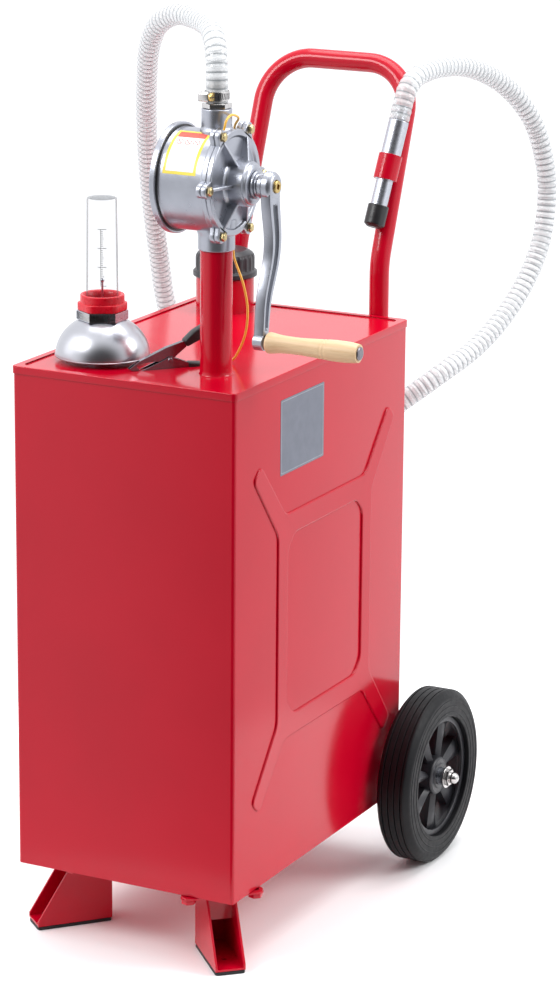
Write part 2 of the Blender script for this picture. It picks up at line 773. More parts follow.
def make_standpipe():
    """The pump's post: a tube through the pan with a raised ring and bead at its foot."""
    top = inlet_bottom_z - touch_gap
    low = pan_under_z - sheet
    ring_top = pan_z + touch_gap + standpipe_ring_height
    inner = standpipe_radius - standpipe_wall
    profile = [(inner, top), (standpipe_radius, top), (standpipe_radius, ring_top + standpipe_bead),
               (standpipe_radius + standpipe_bead, ring_top),
               (standpipe_ring_radius - standpipe_bead, ring_top),
               (standpipe_ring_radius, pan_z + touch_gap),
               (standpipe_radius, pan_z + touch_gap), (standpipe_radius, low), (inner, low)]
    return turned("standpipe", profile, (pipe_x, pump_y, 0), "red_paint", closed=True)


def make_suction_tube():
    """Hangs in the standpipe from the pump's inlet, with inlet slots at its lower end."""
    top = inlet_bottom_z - touch_gap - standpipe_wall
    low = floor_plate_z + suction_floor_gap
    collar = standpipe_radius - standpipe_wall - touch_gap
    inner = suction_radius - suction_wall
    profile = [(inner, top), (collar, top), (collar, top - standpipe_wall),
               (suction_radius, top - standpipe_wall), (suction_radius, low), (inner, low)]
    tube = turned("suction_tube", profile, (pipe_x, pump_y, 0), "bright_steel",
                  steps=small_steps, closed=True)
    for index in range(suction_slot_count // 2):
        cut(tube, box("suction_slot_%d" % index,
                      (2 * suction_radius + overrun, suction_slot_width, suction_slot_height),
                      (pipe_x, pump_y, low + suction_slot_height), None,
                      turn=(0, 0, math.pi * index / (suction_slot_count // 2))))
    return tube


# Feet

def make_foot(side):
    """A folded scoop: floor plate, two upright sides, a back, an inner web and two bolted ears."""
    x, y, degrees = foot_places[side]
    frame = add_empty("foot_frame_" + side, (x, y, 0), (0, 0, math.radians(degrees)))
    base_z = foot_pad_thickness + touch_gap - ground_clearance
    top_z = -touch_gap
    back = -foot_top_setback - foot_top_length
    upright = (math.radians(90), 0, 0)
    side_outline = [(0, base_z), (0, base_z + foot_nose), (-foot_top_setback, top_z - touch_gap),
                    (back, top_z - touch_gap), (back, base_z)]
    foot = plate("foot_" + side, side_outline, foot_width, "red_paint", (0, 0, 0), upright, frame)
    hollow_outline = [(overrun, base_z + foot_sheet), (overrun, top_z + overrun), (back + foot_sheet,
                                                                                   top_z + overrun),
                      (back + foot_sheet, base_z + foot_sheet)]
    hollow = plate("foot_hollow_" + side, hollow_outline, foot_width - 2 * foot_sheet, None,
                   (0, 0, 0), upright, frame)
    web_top = top_z - foot_sheet / 2
    web = box("foot_web_" + side, (foot_sheet, foot_width - foot_sheet, foot_web_height),
              (-foot_web_back, 0, web_top - foot_web_height / 2), None, parent=frame)
    flange_length = -foot_flange_front - back - touch_gap
    flange = box("foot_flange_" + side, (flange_length, foot_width - foot_sheet, foot_sheet),
                 (-foot_flange_front - flange_length / 2, 0, top_z - foot_sheet / 2), None, parent=frame)
    ears = box("foot_ears_" + side, (foot_ear_length, 2 * foot_ear_reach, foot_sheet - 2 * touch_gap),
               (-foot_bolt_back, 0, top_z - foot_sheet / 2), None, foot_ear_corner, parent=frame)
    hole = drum("foot_hole_" + side, foot_hole_radius, foot_sheet + overrun,
                (-foot_base_length / 3, 0, base_z), None, parent=frame, steps=small_steps)
    cut(foot, hollow)
    join(foot, web, flange, ears)
    cut(foot, hole)
    for sign in (-1, 1):
        cut(foot, drum("foot_bolt_hole_%s_%d" % (side, sign), bolt_hole_radius,
                       foot_sheet + overrun, (-foot_bolt_back, sign * foot_bolt_side, top_z), None,
                       parent=frame))
    return frame


def make_foot_pads(frames):
    """Rubber soles under both feet."""
    middle_z = -ground_clearance + foot_pad_thickness / 2
    for label, frame in frames.items():
        box("foot_pad_" + label, (foot_base_length, foot_width, foot_pad_thickness),
            (-foot_base_length / 2, 0, middle_z), "tyre_rubber", foot_corner, parent=frame)


# Wheels

def groove_profile(half, outer):
    """The tread from its outer shoulder to its inner one, with its grooves."""
    points = [(outer, half)]
    for centre in (groove_pitch, 0, -groove_pitch):
        points += [(outer, centre + groove_width / 2), (outer - groove_depth, centre), (outer,
                                                                                        centre - groove_width / 2)]
    return points + [(outer, -half)]


def make_wheel(side):
    """A solid tyre on a moulded spoked wheel with a plain bush, turning on the axle."""
    sign = 1 if side == "right" else -1
    middle_x = sign * (wheel_inner_x + wheel_width / 2)
    hub = add_empty("wheel_axis_" + side, (middle_x, axle_y, axle_z))
    half = wheel_width / 2
    tyre = [(wheel_radius - tyre_shoulder, half), *groove_profile(tread_half_width, wheel_radius),
            (wheel_radius - tyre_shoulder, -half), (tyre_bore_radius, -half), (tyre_bore_radius, half)]
    turned("tyre_" + side, tyre, (0, 0, 0), "tyre_rubber", "X", parent=hub, closed=True)
    rim_half = wheel_width * rim_width_share / 2
    rim_outer = tyre_bore_radius - touch_gap
    rim_profile = [(rim_outer - rim_wall - rim_lip, rim_half), (rim_outer, rim_half),
                   (rim_outer, -rim_half), (rim_outer - rim_wall - rim_lip, -rim_half),
                   (rim_outer - rim_wall - rim_lip, -rim_half + rim_lip),
                   (rim_outer - rim_wall, -rim_half + 2 * rim_lip),
                   (rim_outer - rim_wall, rim_half - 2 * rim_lip),
                   (rim_outer - rim_wall - rim_lip, rim_half - rim_lip)]
    rim = turned("wheel_" + side, rim_profile, (0, 0, 0), "black_plastic", "X", parent=hub, closed=True)
    join(rim, drum("wheel_hub_" + side, hub_radius, hub_width, (0, 0, 0), None, "X", parent=hub,
                   steps=round_steps))
    inner = hub_radius - spoke_lean
    outer = rim_outer - rim_wall / 2
    outline = [(inner, spoke_root_width / 2), (inner, -spoke_root_width / 2),
               (outer, -spoke_tip_width / 2), (outer, spoke_tip_width / 2)]
    for index in range(spoke_count):
        angle = 2 * math.pi * index / spoke_count - math.pi / 2
        join(rim, plate("spoke_%s_%d" % (side, index), outline, spoke_thickness, None, (0, 0, 0),
                        (Matrix.Rotation(angle, 3, "X") @ across_x).to_euler(), hub))
    cut(rim, drum("wheel_bore_" + side, bush_radius + touch_gap, hub_width + overrun, (0, 0, 0), None,
                  "X", parent=hub))
    bush_half = half + bush_overhang
    turned("wheel_bush_" + side, ring_profile(axle_radius + run_gap, bush_radius, -bush_half, bush_half),
           (0, 0, 0), "bright_steel", "X", small_steps, hub, closed=True)


def make_axle():
    """A plain axle with a collar inside each wheel and a flanged acorn nut outside it."""
    inner = wheel_inner_x - bush_overhang - touch_gap
    outer = wheel_inner_x + wheel_width + bush_overhang + touch_gap
    nut_x = outer + axle_washer_thickness
    length = 2 * (nut_x + axle_nut_height / 2)
    axle = drum("axle", axle_radius, length, (0, axle_y, axle_z), "bright_steel", "X")
    for side, sign in (("left", -1), ("right", 1)):
        join(axle, drum("axle_collar_" + side, axle_collar_radius, axle_collar_width,
                        (sign * (inner - axle_collar_width / 2), axle_y, axle_z), None, "X"))
        dome_low = axle_nut_height / 2
        profile = [(0, axle_nut_height + axle_dome_radius)]
        profile += [(axle_dome_radius * math.sin(a), axle_nut_height + axle_dome_radius * math.cos(a))
                    for a in (math.radians(30), math.radians(60), math.radians(90))]
        profile += [(axle_dome_radius, dome_low), (0, dome_low)]
        nut = drum("axle_nut_" + side, axle_nut_radius, axle_nut_height,
                   (sign * (nut_x + axle_nut_height / 2), axle_y, axle_z), "bright_steel", "X", bolt_sides)
        dome = turned("nut_dome_" + side, profile, (sign * nut_x, axle_y, axle_z), None, "X", small_steps)
        dome.rotation_euler = (0, sign * math.radians(90), 0)
        flange_end = nut_x + touch_gap
        flange = drum("nut_flange_" + side, axle_washer_radius, flange_end - outer,
                      (sign * (flange_end + outer) / 2, axle_y, axle_z), None, "X")
        join(nut, dome, flange)
        cut(nut, drum("nut_bore_" + side, axle_radius + touch_gap, axle_nut_height + 2 * touch_gap,
                      (sign * (nut_x + touch_gap), axle_y, axle_z), None, "X"))


def make_rear_bracket():
    """A folded channel on the rear face: two webs carry the axle, two sleeves hold the handle's feet."""
    low = axle_z - axle_web_below
    web_y = axle_y + axle_web_below
    start = rear_y + touch_gap
    middle_z = (low + bracket_top) / 2
    bracket = box("rear_bracket", (2 * strap_half_width, strap_sheet, bracket_top - low),
                  (0, start + strap_sheet / 2, middle_z), "red_paint")
    for side, sign in (("left", -1), ("right", 1)):
        depth = web_y - start - strap_sheet / 2
        join(bracket, box("axle_web_" + side, (strap_sheet, depth, axle_web_height),
                          (sign * axle_web_x, web_y - depth / 2,
                           low + touch_gap + axle_web_height / 2), None))
        cut(bracket, drum("axle_way_" + side, axle_radius + touch_gap, overrun,
                          (sign * axle_web_x, axle_y, axle_z), None, "X"))
    add_sleeves(bracket, "foot", bracket_top - strap_height / 2 - touch_gap)


def add_sleeves(plate, label, height):
    """Half sleeves on a plate that hold both uprights of the handle."""
    for side, sign in (("left", -1), ("right", 1)):
        x = sign * handle_half_width
        name = "%s_sleeve_%s" % (label, side)
        join(plate, drum(name, handle_radius + touch_gap + strap_sheet, strap_height, (x, handle_y,
                                                                                       height), None))
        cut(plate, drum(name + "_bore", handle_radius + 2 * touch_gap, 2 * strap_height, (x, handle_y,
                                                                                          height), None,
                        steps=round_steps))
        cut(plate, box(name + "_back", (4 * strap_half_width, 2 * handle_radius, 2 * strap_height),
                       (x, rear_y + touch_gap - handle_radius, height), None))


# Handle

def handle_point(side_x, along):
    """A point of the handle's plane: along is the height up the knee, then up the lean."""
    bend_length = handle_knee_radius * handle_lean
    start = handle_knee_z - bend_length / 2
    if along <= start:
        return (side_x, handle_y, along)
    turn = min((along - start) / handle_knee_radius, handle_lean)
    y = handle_y + handle_knee_radius * (1 - math.cos(turn))
    z = start + handle_knee_radius * math.sin(turn)
    rest = max(along - start - bend_length, 0)
    return (side_x, y + rest * math.sin(handle_lean), z + rest * math.cos(handle_lean))


def make_handle():
    """One tube: up the left, over the grip bar and down the right."""
    top = handle_knee_z + handle_rise
    bend = (handle_half_width - handle_bend_radius, top - handle_bend_radius)
    knee = handle_knee_radius * handle_lean
    right = [(handle_half_width, handle_foot_z)]
    right += [(handle_half_width, handle_knee_z - knee / 2 + knee * i / knee_steps)
              for i in range(knee_steps + 1)]
    right += arc(bend, handle_bend_radius, 0, math.pi / 2, bend_steps)
    path = [(-x, s) for x, s in right] + right[::-1]
    return tube_mesh("handle_tube", [[handle_point(x, s) for x, s in path]], handle_radius,
                     "red_paint")


knee_steps = 5
bend_steps = 8


def make_handle_strap():
    """The upper strap that holds both uprights to the rear face."""
    strap = box("handle_strap", (2 * strap_half_width, strap_sheet, strap_height + 2 * touch_gap),
                (0, rear_y + touch_gap + strap_sheet / 2, strap_z), "red_paint")
    add_sleeves(strap, "strap", strap_z)


# Nozzle

def nozzle_frame():
    """The nozzle's axis: parallel to the leaning upright, just in front of it."""
    along = handle_knee_z + nozzle_along
    place = Vector(handle_point(handle_half_width, along))
    forward = Vector((0, -math.cos(handle_lean), math.sin(handle_lean)))
    place += forward * holder_offset + Vector((nozzle_side, 0, 0))
    turn = Matrix.Rotation(-handle_lean, 3, "X") @ Matrix.Rotation(nozzle_tilt, 3, "Y")
    return add_empty("nozzle_axis", place, turn.to_euler())


def make_nozzle(frame):
    """A plated tube with a stepped spout, its barb in the hose, and a rubber tip on the spout."""
    half = holder_length / 2
    top = half + nozzle_body_length
    low = -half - nozzle_spout_length - tip_overlap
    barb_top = top + nozzle_barb_length
    bore = nozzle_barb_radius - nozzle_wall - barb_step
    spout_bore = nozzle_spout_radius - nozzle_wall
    profile = [(bore, barb_top)]
    profile += barb_points(nozzle_barb_radius, barb_top, top)
    profile += [(nozzle_body_radius, top), (nozzle_body_radius, -half),
                (nozzle_spout_radius, -half - touch_gap), (nozzle_spout_radius, low),
                (spout_bore, low), (spout_bore, half), (bore, top)]
    turned("nozzle_tube", profile, (0, 0, 0), "bright_steel", steps=small_steps, parent=frame, closed=True)
    tip_top = low + tip_overlap
    tip_low = tip_top - tip_length
    chamfer = tip_radius - nozzle_spout_radius
    tip_bore = nozzle_spout_radius + touch_gap
    tip = [(0, low - touch_gap), (tip_bore, low - touch_gap), (tip_bore, tip_top), (tip_radius, tip_top),
           (tip_radius, tip_low + chamfer), (tip_radius - chamfer, tip_low), (0, tip_low)]
    turned("nozzle_tip", tip, (0, 0, 0), "tyre_rubber", steps=small_steps, parent=frame)
    inner = nozzle_body_radius + touch_gap
    sleeve = turned("nozzle_holder", ring_profile(inner, holder_radius, -half, half), (0, 0, 0),
                    "red_paint", steps=small_steps, parent=frame, closed=True)
    web_start = holder_radius - holder_stand
    web_end = holder_offset - handle_radius / 2
    web = box("holder_web", (holder_web_width, web_end - web_start, holder_length - 2 * foot_corner),
              (0, (web_start + web_end) / 2, 0), None, parent=frame)
    hollow = drum("holder_clear", handle_radius + touch_gap, 2 * holder_length,
                  handle_point(handle_half_width, handle_knee_z + nozzle_along), None, steps=round_steps)
    hollow.rotation_euler = (-handle_lean, 0, 0)
    join(sleeve, web)
    cut(sleeve, hollow)


def barb_points(radius, top, low):
    """A saw-tooth of barbs from the top down."""
    pitch = (top - low) / barb_count
    points = []
    for index in range(barb_count):
        start = top - pitch * index
        points += [(radius - barb_step, start), (radius, start - pitch * barb_shares[0]),
                   (radius - barb_step, start - pitch * barb_shares[1])]
    return points + [(radius - barb_step, low)]


# Pump

def bolt_angles():
    return [2 * math.pi * index / cover_bolt_count for index in range(cover_bolt_count)]


def on_circle(radius, angle):
    """A point of a circle about the shaft, the angle measured from +Y towards +Z."""
    return (pump_y + radius * math.cos(angle), shaft_z + radius * math.sin(angle))


def flange_outline():
    """The flange's circle with a round ear at each bolt, about the shaft."""
    reach, ring, ear = cover_bolt_circle, flange_ring_radius, cover_ear_radius
    ring_turn = math.acos((ring ** 2 + reach ** 2 - ear ** 2) / (2 * ring * reach))
    ear_turn = math.pi - math.acos((reach ** 2 + ear ** 2 - ring ** 2) / (2 * reach * ear))
    pitch = 2 * math.pi / cover_bolt_count
    points = []
    for angle in bolt_angles():
        middle = (reach * math.cos(angle), reach * math.sin(angle))
        points += arc(middle, ear, angle - ear_turn, angle + ear_turn, ear_steps)
        points += arc((0, 0), ring, angle + ring_turn, angle + pitch - ring_turn, ring_steps)[1:-1]
    return points


def pump_flange(name, low_x, high_x):
    """An eared flange across the shaft with the cover screws' holes."""
    middle_x = (low_x + high_x) / 2
    flange = plate(name, flange_outline(), high_x - low_x, "cast_alloy", (middle_x, pump_y, shaft_z),
                   across_x.to_euler())
    for index, angle in enumerate(bolt_angles()):
        y, z = on_circle(cover_bolt_circle, angle)
        cut(flange, drum("%s_hole_%d" % (name, index + 1), cover_shank_radius + touch_gap,
                         high_x - low_x + overrun,
                         (middle_x, y, z), None, "X", hole_steps))
    return flange


ring_steps = 3
ear_steps = 6
hole_steps = 6


def make_pump_body():
    """A cast barrel with a bolting flange at its front, an outlet above and an inlet below."""
    back = rear_flange_x + rear_cover_thickness + touch_gap
    flange_front = barrel_front_x + body_flange_thickness
    body = pump_flange("pump_body", barrel_front_x, flange_front)
    barrel_end = (barrel_front_x + flange_front) / 2
    join(body, drum("pump_barrel", barrel_radius, barrel_end - back, ((back + barrel_end) / 2, pump_y,
                                                                      shaft_z),
                    None, "X", round_steps))
    reach = shaft_z + barrel_radius / 2
    join(body, drum("outlet_boss", outlet_radius, outlet_top_z - reach,
                    (pipe_x, pump_y, (outlet_top_z + reach) / 2), None, steps=round_steps))
    reach = shaft_z - barrel_radius / 2
    join(body, drum("inlet_boss", inlet_radius, reach - inlet_bottom_z,
                    (pipe_x, pump_y, (inlet_bottom_z + reach) / 2), None, steps=round_steps))
    bore = drum("barrel_bore", chamber_radius, flange_front - back + overrun,
                ((back + flange_front) / 2, pump_y - chamber_offset, shaft_z), None, "X", round_steps)
    port = drum("port_bore", port_bore, outlet_top_z - inlet_bottom_z + overrun,
                (pipe_x, pump_y, (outlet_top_z + inlet_bottom_z) / 2), None)
    face_low = shaft_z - cover_bolt_circle - cover_ear_radius
    face = box("body_face", (overrun, 2 * flange_ring_radius, 2 * flange_ring_radius),
               (flange_front + overrun / 2, pump_y, face_low + flange_ring_radius), None)
    cut(body, bore, port, face)
    return body


def make_rear_cover():
    back = rear_flange_x
    front = back + rear_cover_thickness
    profile = [(0, front), (rear_flange_radius - cover_step, front), (rear_flange_radius,
                                                                      front - cover_step),
               (rear_flange_radius, back), (cover_dish_radius, back),
               (cover_dish_radius - cover_dish_depth, back + cover_dish_depth),
               (rear_boss_radius, back + cover_dish_depth), (rear_boss_radius, back - rear_boss_length),
               (0, back - rear_boss_length)]
    cover = turned("pump_rear_cover", profile, (0, pump_y, shaft_z), "cast_alloy", "X")
    pocket = front - bush_length
    cut(cover, drum("rear_bush_pocket", shaft_radius + run_gap + bush_wall + touch_gap,
                    bush_length + overrun,
                    (pocket + (bush_length + overrun) / 2, pump_y, shaft_z), None, "X"))
    return cover


def make_front_cover():
    """A dished cover with a hub boss, six ribs and six ears."""
    back = cover_front_x - cover_flange_thickness
    dish = cover_front_x - cover_dish_depth
    cover = pump_flange("pump_front_cover", back, cover_front_x)
    dish_low = cover_dish_radius - cover_step
    slope = cover_step / cover_dish_depth
    cut(cover, drum("cover_dish", dish_low, cover_dish_depth + overrun,
                    (dish + (cover_dish_depth + overrun) / 2, pump_y, shaft_z), None, "X", round_steps,
                    end_radius=dish_low + slope * (cover_dish_depth + overrun)))
    boss_low = (back + dish) / 2
    join(cover, drum("cover_boss", cover_boss_radius, cover_boss_x - boss_low,
                     ((cover_boss_x + boss_low) / 2, pump_y, shaft_z), None, "X", round_steps))
    rib_low = boss_low - dish
    outline = [(cover_boss_radius - cover_step, rib_low), (cover_boss_radius - cover_step,
                                                           rib_height + cover_dish_depth),
               (flange_ring_radius - cover_step, cover_dish_depth + touch_gap),
               (flange_ring_radius - cover_step, rib_low)]
    for index, angle in enumerate(bolt_angles()):
        join(cover, plate("cover_rib_%d" % index, outline, rib_thickness, None, (dish, pump_y, shaft_z),
                          (Matrix.Rotation(angle, 3, "X") @ along_x).to_euler()))
    pocket = back + bush_length
    cut(cover, drum("front_bush_pocket", shaft_radius + run_gap + bush_wall + touch_gap,
                    bush_length + overrun,
                    (pocket - (bush_length + overrun) / 2, pump_y, shaft_z), None, "X"))
    gland_pocket = cover_boss_x - gland_out
    cut(cover, drum("gland_pocket", gland_radius + touch_gap, gland_out + overrun,
                    (gland_pocket + (gland_out + overrun) / 2, pump_y, shaft_z), None, "X"))
    cut(cover, drum("shaft_way", shaft_radius + run_gap, 2 * overrun + cover_boss_x - back,
                    ((cover_boss_x + back) / 2, pump_y, shaft_z), None, "X"))
    return cover


def make_cover_bolts():
    """Six plated hex screws through the front cover into the body's flange."""
    low = barrel_front_x + touch_gap
    high = cover_front_x + touch_gap
    for index, angle in enumerate(bolt_angles()):
        y, z = on_circle(cover_bolt_circle, angle)
        name = "cover_bolt_%d" % (index + 1)
        head = drum(name, cover_bolt_radius, cover_bolt_height, (high + cover_bolt_height / 2, y, z),
                    "zinc_yellow", "X", bolt_sides)
        join(head, drum(name + "_shank", cover_shank_radius, high - low + touch_gap,
                        ((high + low + touch_gap) / 2, y, z), None, "X", hole_steps))


def make_shaft_parts(frame):
    """The shaft with its rotor and vanes, turning in two bushes, and the gland that seals it."""
    back = rear_flange_x + rear_cover_thickness - bush_length + touch_gap
    square_x = crank_outer_x + square_shaft_reach
    length = square_x - back - touch_gap
    shaft = drum("pump_shaft", shaft_radius, length, (back + touch_gap + length / 2 - crank_inner_x, 0, 0),
                 "zinc_yellow", "X", parent=frame)
    rotor_low = rear_flange_x + rear_cover_thickness + touch_gap + rotor_gap
    rotor_high = barrel_front_x + body_flange_thickness - rotor_gap
    middle = (rotor_low + rotor_high) / 2 - crank_inner_x
    rotor = drum("pump_rotor", rotor_radius, rotor_high - rotor_low, (middle, 0, 0), "cast_alloy", "X",
                 parent=frame, steps=round_steps)
    cut(rotor, drum("rotor_bore", shaft_radius + touch_gap, 2 * rotor_high, (middle, 0, 0), None, "X",
                    parent=frame))
    reach = rotor_radius * math.cos(math.pi / round_steps) - vane_depth / 2
    for index in range(vane_count):
        angle = 2 * math.pi * index / vane_count
        slot = reach + overrun / 2 - touch_gap
        cut(rotor, box("vane_slot_%d" % (index + 1),
                       (2 * rotor_high, vane_depth + overrun, vane_thickness + 2 * touch_gap),
                       (middle, slot * math.cos(angle),
                        slot * math.sin(angle)), None, parent=frame, turn=(angle, 0, 0)))
        box("pump_vane_%d" % (index + 1), (rotor_high - rotor_low, vane_depth - 2 * touch_gap,
                                           vane_thickness),
            (middle, reach * math.cos(angle), reach * math.sin(angle)), "black_plastic", parent=frame,
            turn=(angle, 0, 0))
    inner = shaft_radius + run_gap
    outer = inner + bush_wall
    rear_end = rear_flange_x + rear_cover_thickness
    front_start = cover_front_x - cover_flange_thickness
    turned("shaft_bush_rear", ring_profile(inner, outer, back + touch_gap, rear_end),
           (0, pump_y, shaft_z), "bronze", "X", small_steps, closed=True)
    turned("shaft_bush_front", ring_profile(inner, outer, front_start,
                                            front_start + bush_length - touch_gap),
           (0, pump_y, shaft_z), "bronze", "X", small_steps, closed=True)
    gland_end = cover_boss_x + crank_gap_share * (crank_inner_x - cover_boss_x)
    gland = [(inner, gland_end), (gland_flange_radius, gland_end), (gland_flange_radius,
                                                                    cover_boss_x + touch_gap),
             (gland_radius, cover_boss_x + touch_gap), (gland_radius, cover_boss_x - gland_out + touch_gap),
             (inner, cover_boss_x - gland_out + touch_gap)]
    turned("gland_nut", gland, (0, pump_y, shaft_z), "cast_alloy", "X", small_steps, closed=True)


crank_gap_share = 0.9       # of the way from the cover's boss to the crank's


# Crank

def crank_middle(share):
    """The arm's middle line from hub to pin: a straight throw with a rearward bow."""
    bow = crank_bow * math.sin(math.pi * min(share / crank_bow_share, 1)) ** 2
    return bow, -crank_throw * share


def crank_outline(width_share, start, end):
    """Both sides of the arm as one loop, in the crank's own plane."""
    left = []
    right = []
    for index in range(crank_steps + 1):
        share = start + (end - start) * index / crank_steps
        here = crank_middle(share)
        ahead = crank_middle(share + 1 / crank_fine_steps)
        direction = Vector((ahead[0] - here[0], ahead[1] - here[1])).normalized()
        normal = Vector((-direction.y, direction.x))
        width = width_share * (crank_root_width + (crank_tip_width - crank_root_width) * share) / 2
        left.append((here[0] + normal.x * width, here[1] + normal.y * width))
        right.append((here[0] - normal.x * width, here[1] - normal.y * width))
    return left + right[::-1]


crank_steps = 9
crank_fine_steps = 100


def make_crank(frame):
    """The cast arm with its square-bored boss, grooved on its outer face."""
    boss = drum("crank_arm", crank_boss_radius, crank_boss_length, (crank_boss_length / 2, 0, 0),
                "cast_alloy", "X", round_steps, frame)
    plane = (Matrix.Rotation(-crank_angle, 3, "X") @ across_x).to_euler()
    middle_x = crank_arm_in + crank_arm_thickness / 2
    arm = plate("crank_arm_blade", crank_outline(1, 0, 1), crank_arm_thickness, None,
                (middle_x, 0, 0), plane, frame)
    groove = plate("crank_groove", crank_outline(crank_groove_share, *crank_groove_ends_share),
                   2 * crank_groove_depth, None,
                   (crank_arm_in + crank_arm_thickness, 0, 0), plane, frame)
    pin_y = -crank_throw * math.sin(crank_angle)
    pin_z = -crank_throw * math.cos(crank_angle)
    eye = drum("crank_eye", crank_eye_radius, crank_arm_thickness + 2 * touch_gap, (middle_x, pin_y,
                                                                                    pin_z), None, "X",
               small_steps, frame)
    join(boss, arm, eye)
    cut(boss, groove)
    cut(boss, drum("crank_bore", shaft_radius + touch_gap, 2 * crank_boss_length, (crank_boss_length / 2,
                                                                                   0, 0),
                   None, "X", parent=frame))
    cut(boss, drum("pin_bore", grip_pin_radius + touch_gap, 2 * crank_arm_thickness,
                   (middle_x, pin_y, pin_z), None, "X", hole_steps, frame))
    inner = grip_inner_x - crank_inner_x
    pin_start = crank_arm_in
    head_x = inner + grip_length + touch_gap
    pin = drum("grip_pin", grip_pin_radius, head_x - pin_start + touch_gap,
               ((head_x + pin_start + touch_gap) / 2, pin_y, pin_z), "bright_steel", "X", hole_steps, frame)
    join(pin, drum("grip_pin_head", grip_head_radius, grip_head_thickness,
                   (head_x + grip_head_thickness / 2, pin_y, pin_z), None, "X", small_steps, frame))
    grip_axis = add_empty("grip_axis", (inner, pin_y, pin_z), parent=frame)
    make_grip(grip_axis)


def make_grip(frame):
    """A turned wooden grip, its swell from the table of shares."""
    profile = [(radius, grip_length * share) for share, radius in reversed(list(zip(grip_share,
                                                                                    grip_radii)))]
    bore = grip_pin_radius + run_gap
    turned("crank_grip", profile + [(bore, 0), (bore, grip_length)], (0, 0, 0), "beech", "X",
           small_steps, frame, closed=True)


# Hose and its fittings

def make_adapter():
    """A plated hex nipple in the outlet with a barb for the hose."""
    low = outlet_top_z + touch_gap
    top = low + adapter_hex_height
    nut = drum("hose_adapter", adapter_hex_radius, adapter_hex_height, (pipe_x, pump_y, (low + top) / 2),
               "bright_steel", steps=bolt_sides)
    barb_top = top + adapter_barb_length
    profile = [(0, barb_top), *barb_points(adapter_barb_radius, barb_top, top - touch_gap), (0,
                                                                                             top - touch_gap)]
    join(nut, turned("adapter_barb", profile, (pipe_x, pump_y, 0), None, steps=small_steps))
    shank = port_bore - touch_gap
    join(nut, drum("adapter_shank", shank, adapter_barb_length / 3,
                   (pipe_x, pump_y, low + touch_gap - adapter_barb_length / 6), None))
    cut(nut, drum("adapter_bore", adapter_bore, 2 * adapter_barb_length + adapter_hex_height,
                  (pipe_x, pump_y, top + overrun), None))
    return nut


def make_hose_clamp():
    """A worm-drive band round the hose, with its housing and screw at the front."""
    low = hose_start_z + hose_clamp_lift
    inner = hose_outer_radius + touch_gap
    outer = inner + hose_clamp_thickness
    middle_z = low + hose_clamp_width / 2
    clamp = drum("hose_clamp", outer, hose_clamp_width, (pipe_x, pump_y, middle_z), "bright_steel",
                 steps=round_steps)
    screw_y = pump_y - outer - clamp_screw_radius + 2 * hose_clamp_thickness
    join(clamp, box("clamp_house", (clamp_house_length, 2 * clamp_screw_radius,
                                    hose_clamp_width + 2 * touch_gap),
                    (pipe_x - clamp_house_length / 2, screw_y, middle_z), None))
    join(clamp, drum("clamp_screw", clamp_screw_radius - hose_clamp_thickness, clamp_screw_length,
                     (pipe_x - clamp_house_length + clamp_screw_length / 2 - touch_gap, screw_y,
                      middle_z), None, "X",
                     hole_steps))
    join(clamp, drum("clamp_screw_head", clamp_screw_head_radius, clamp_screw_head_length,
                     (pipe_x + touch_gap + clamp_screw_head_length / 2, screw_y,
                      middle_z), None, "X", bolt_sides))
    cut(clamp, drum("clamp_hose_way", inner, 4 * hose_clamp_width, (pipe_x, pump_y, middle_z), None,
                    steps=round_steps))


# Filler cap

def make_cap():
    """A screw cap over the neck, with its gasket on the neck's end."""
    shoulder = pan_z + filler_rise
    low = shoulder + 4 * touch_gap
    neck_top = shoulder + filler_thread_length
    seal_low = neck_top + touch_gap
    ceiling = seal_low + cap_gasket_thickness + touch_gap
    top = ceiling + cap_top_thickness
    inner = filler_thread_radius + run_gap
    axis = add_empty("cap_axis", (filler_x, filler_y, low))
    crown = [(0, top)]
    crown += [(cap_radius - cap_shoulder + cap_shoulder * math.sin(a),
               top - cap_shoulder + cap_shoulder * math.cos(a))
              for a in (0, math.radians(30), math.radians(60), math.radians(90))]
    skirt_top = low + cap_skirt_height
    profile = crown + [(cap_radius, skirt_top + cap_skirt_height / 2), (cap_skirt_radius, skirt_top),
                       (cap_skirt_radius, low), (inner, low), (inner, ceiling), (0, ceiling)]
    turned("filler_cap", [(radius, z - low) for radius, z in profile], (0, 0, 0), "black_plastic",
           parent=axis)
    seal_outer = filler_thread_radius - touch_gap
    seal_inner = filler_thread_radius - filler_wall
    turned("cap_gasket", ring_profile(seal_inner, seal_outer, seal_low - low,
                                      seal_low + cap_gasket_thickness - low),
           (0, 0, 0), "gasket_paper", parent=axis, closed=True)


# Gauge

def dome_points(radius, rise, high, low, steps):
    """An ellipse's outer side between two heights above its middle, from the top down."""
    heights = [high + (low - high) * i / steps for i in range(steps + 1)]
    return [(radius * math.sqrt(1 - (h / rise) ** 2), h) for h in heights]


dome_steps = 4


